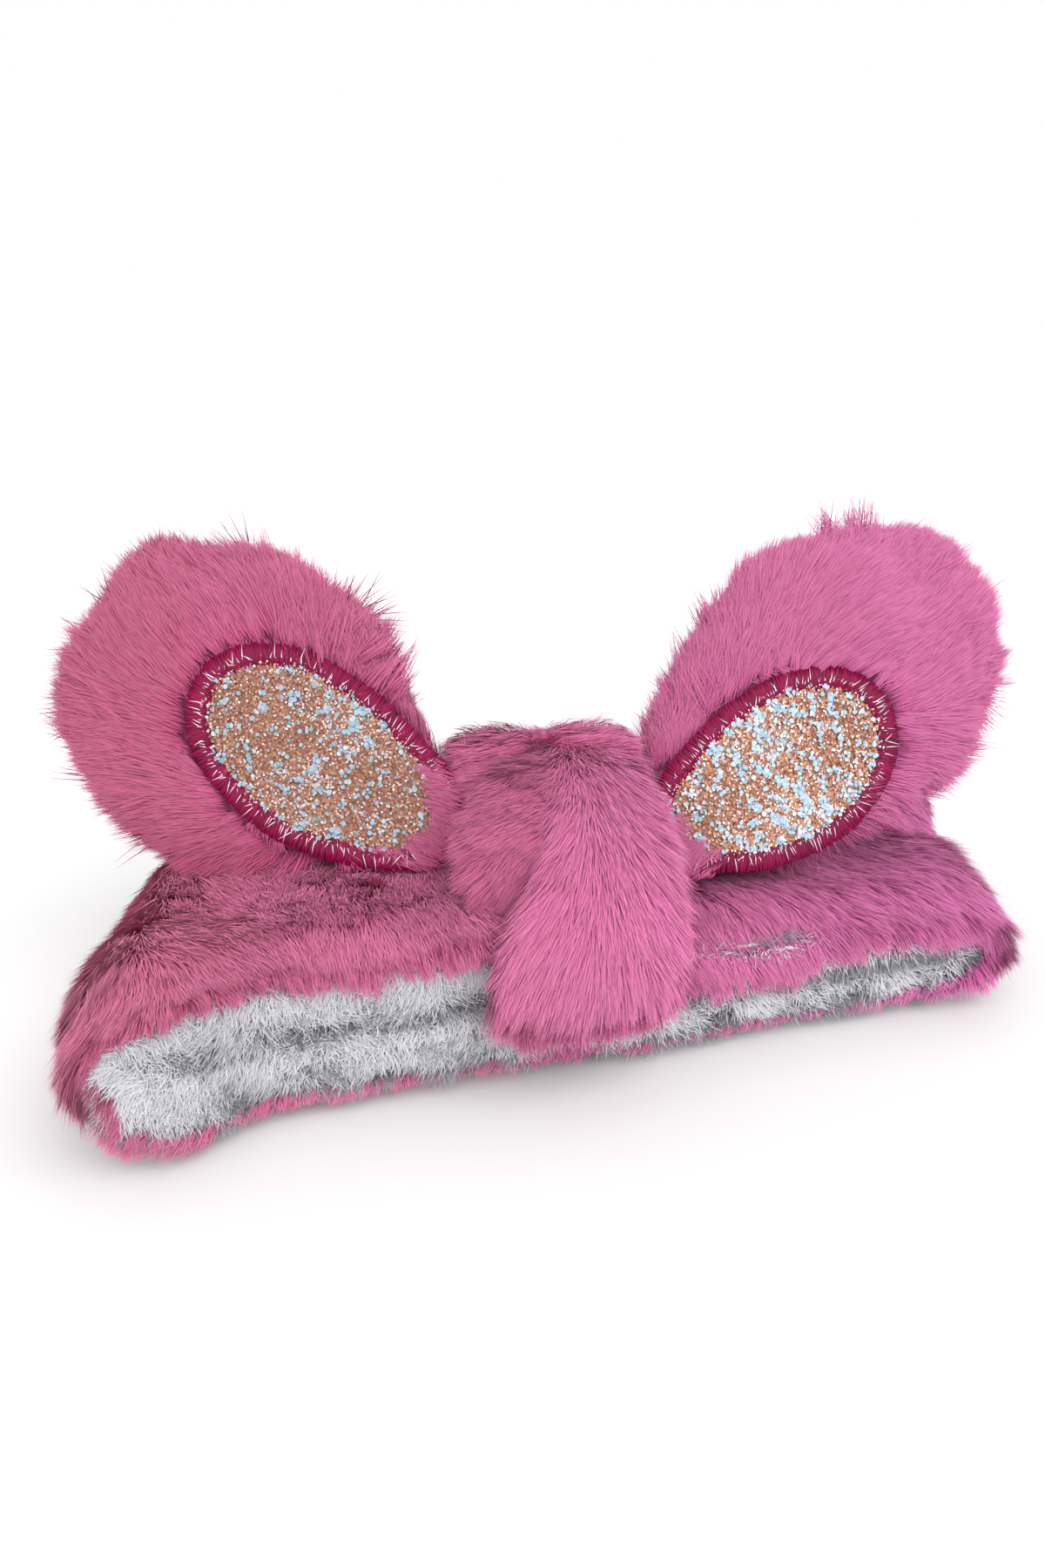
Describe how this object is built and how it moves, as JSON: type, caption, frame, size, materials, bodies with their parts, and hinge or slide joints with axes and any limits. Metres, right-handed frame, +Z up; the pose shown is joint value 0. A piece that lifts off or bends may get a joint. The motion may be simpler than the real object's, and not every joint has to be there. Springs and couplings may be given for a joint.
{
  "type": "rabbit ear hair band",
  "caption": "Plush stretch hair band lying flat, lined with white pile, with padded rabbit ears bearing glitter patches held in a centre wrap.",
  "frame": {"origin": "on the surface that the back half of the loop rests on, under the middle of the centre wrap", "axes": "+X along the flattened loop towards the wearer's left (the tight fold), +Y from the loop's face edge to its crown edge, +Z up away from the resting surface"},
  "size_m": [0.2307, 0.098, 0.1131],
  "materials": {
    "band_plush": "long-pile polyester plush, combed",
    "ear_plush": "long-pile polyester plush, combed",
    "white_lining": "short dense sherpa pile",
    "wadding": "loose polyester fibre",
    "elastic": "woven elastic webbing",
    "backing": "stiff non-woven sheet",
    "glitter": "coarse glitter flakes set on cloth",
    "satin_thread": "close satin stitch in shiny thread"
  },
  "bodies": {
    "back_half": {"band_outer_back": "band_plush", "band_lining_back": "white_lining", "band_elastic": "elastic", "band_outer_left_fold": "band_plush", "band_outer_right_fold": "band_plush", "band_lining_left_fold": "white_lining", "band_lining_right_fold": "white_lining"},
    "front_half": {"band_outer_front": "band_plush", "band_lining_front": "white_lining", "front_wadding": "wadding", "wrap_outer": "band_plush", "wrap_inner": "band_plush", "ear_root_gather": "ear_plush"},
    "left_ear": {"left_ear_front_panel": "ear_plush", "left_ear_back_panel": "ear_plush", "left_ear_filling": "wadding", "left_ear_backing_sheet": "backing", "left_ear_glitter_patch": "glitter", "left_ear_satin_border": "satin_thread"},
    "right_ear": {"right_ear_front_panel": "ear_plush", "right_ear_back_panel": "ear_plush", "right_ear_filling": "wadding", "right_ear_backing_sheet": "backing", "right_ear_glitter_patch": "glitter", "right_ear_satin_border": "satin_thread"}
  },
  "joints": [
    {"name": "loop_open", "type": "slide", "parent": "back_half", "child": "front_half", "axis": [0, 0, 1], "range_m": [0, 0.035], "stiffness_N_per_m": 25, "deforming": ["band_outer_left_fold", "band_outer_right_fold", "band_lining_left_fold", "band_lining_right_fold"]},
    {"name": "left_ear_flop", "type": "hinge", "parent": "front_half", "child": "left_ear", "pos_m": [-0.03125, 0.0076, 0.05976], "axis": [0.5499, 0.3198, 0.7716], "range_deg": [-10, 55], "stiffness_Nm_per_rad": 0.5},
    {"name": "right_ear_flop", "type": "hinge", "parent": "front_half", "child": "right_ear", "pos_m": [0.03213, -0.00131, 0.05976], "axis": [0.4091, -0.4623, -0.7867], "range_deg": [-10, 55], "stiffness_Nm_per_rad": 0.5}
  ]
}
